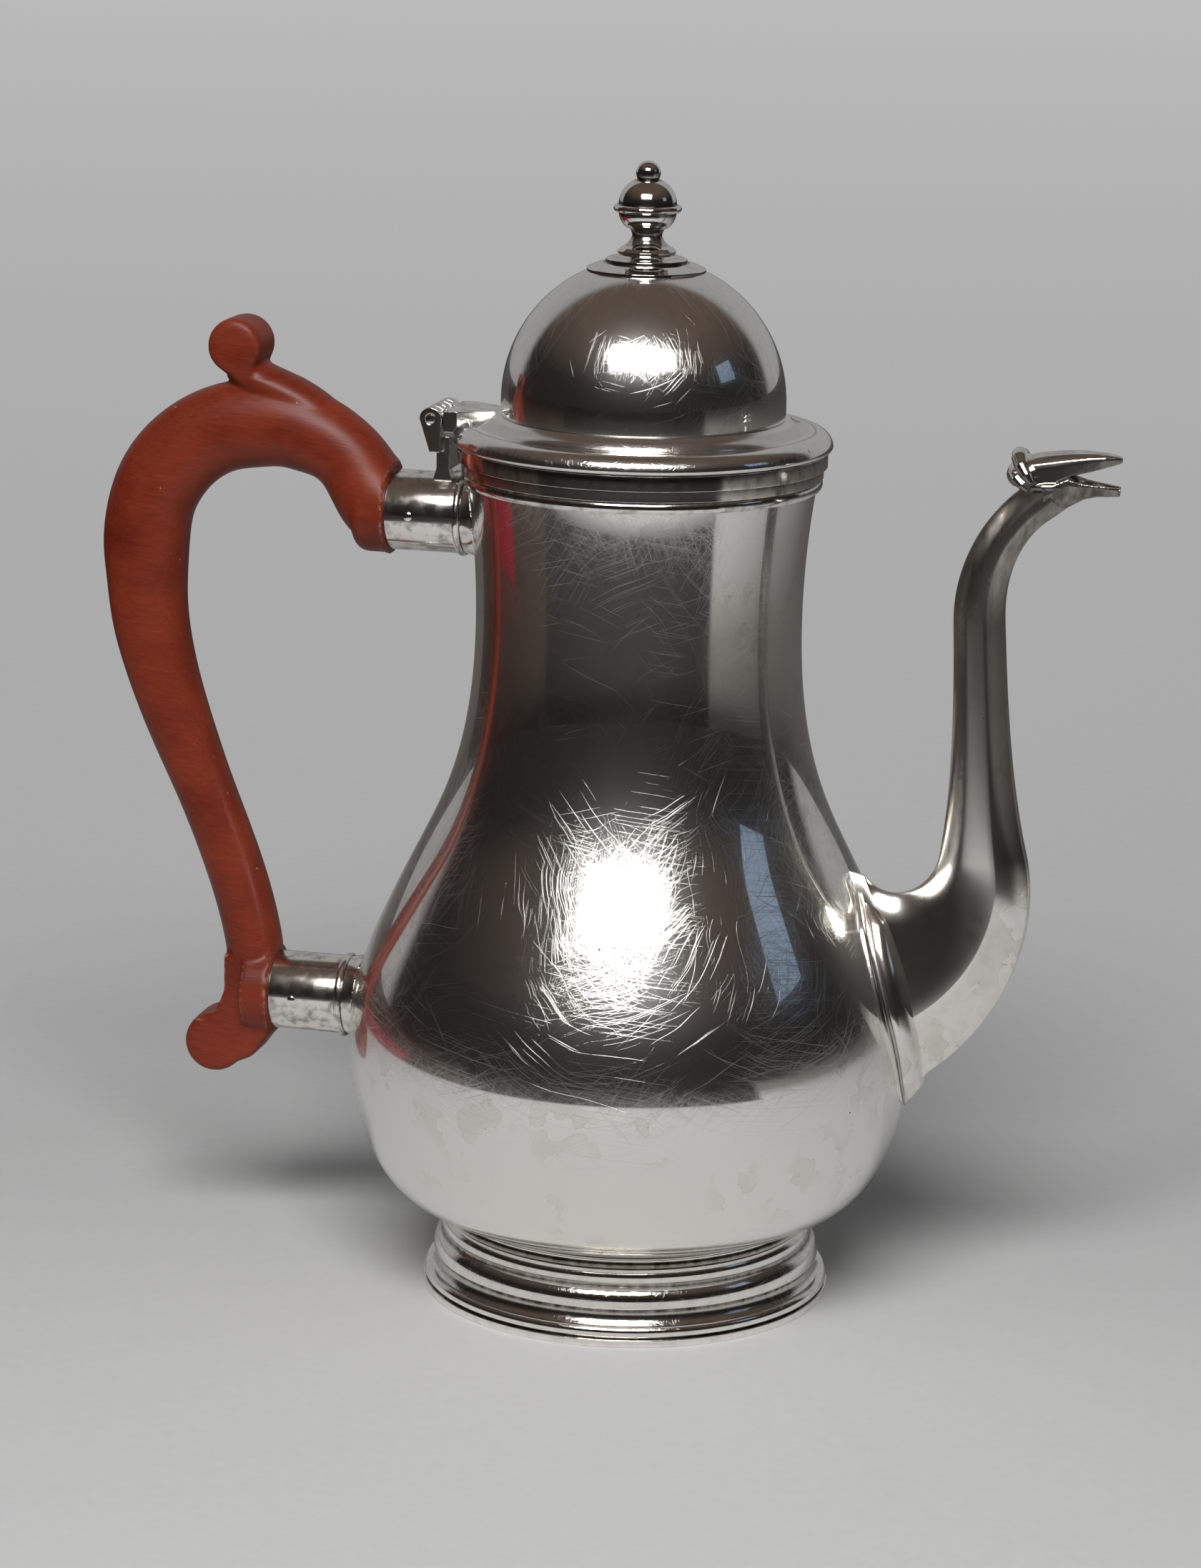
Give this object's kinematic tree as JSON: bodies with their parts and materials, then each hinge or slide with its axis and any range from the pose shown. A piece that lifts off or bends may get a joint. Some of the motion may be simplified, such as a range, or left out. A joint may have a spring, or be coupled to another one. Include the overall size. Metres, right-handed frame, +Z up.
{
  "type": "coffee pot",
  "caption": "Silver baluster coffee pot on a stepped foot, with a scrolled wooden handle, a swan-neck spout ending in a bird's head and a hinged domed lid.",
  "frame": {"origin": "centre of the foot on the table", "axes": "+Z up along the body's axis, +X towards the spout, -X towards the handle"},
  "size_m": [0.2259, 0.125, 0.25],
  "materials": {
    "silver": "polished silver with fine wear scratches and tarnish in the mouldings",
    "handle_wood": "satin stained wood"
  },
  "bodies": {
    "pot": {"body_shell": "silver", "foot_wire": "silver", "foot_ring": "silver", "rim_moulding": "silver", "upper_socket": "silver", "upper_socket_ring": "silver", "upper_socket_collar": "silver", "upper_handle_pin": "silver", "lower_socket": "silver", "lower_socket_ring": "silver", "lower_socket_collar": "silver", "lower_handle_pin": "silver", "handle": "handle_wood", "spout_near_half": "silver", "spout_far_half": "silver", "spout_head": "silver", "spout_apron": "silver", "hinge_bracket": "silver", "hinge_pin": "silver"},
    "lid": {"lid_bezel": "silver", "lid_flange": "silver", "lid_dome": "silver", "finial_plate": "silver", "finial": "silver", "finial_nut": "silver", "lid_hinge_leaf": "silver"}
  },
  "joints": [
    {"name": "lid_hinge", "type": "hinge", "parent": "pot", "child": "lid", "pos_m": [-0.0452, 0, 0.1933], "axis": [0, -1, 0], "range_deg": [0, 100]}
  ]
}
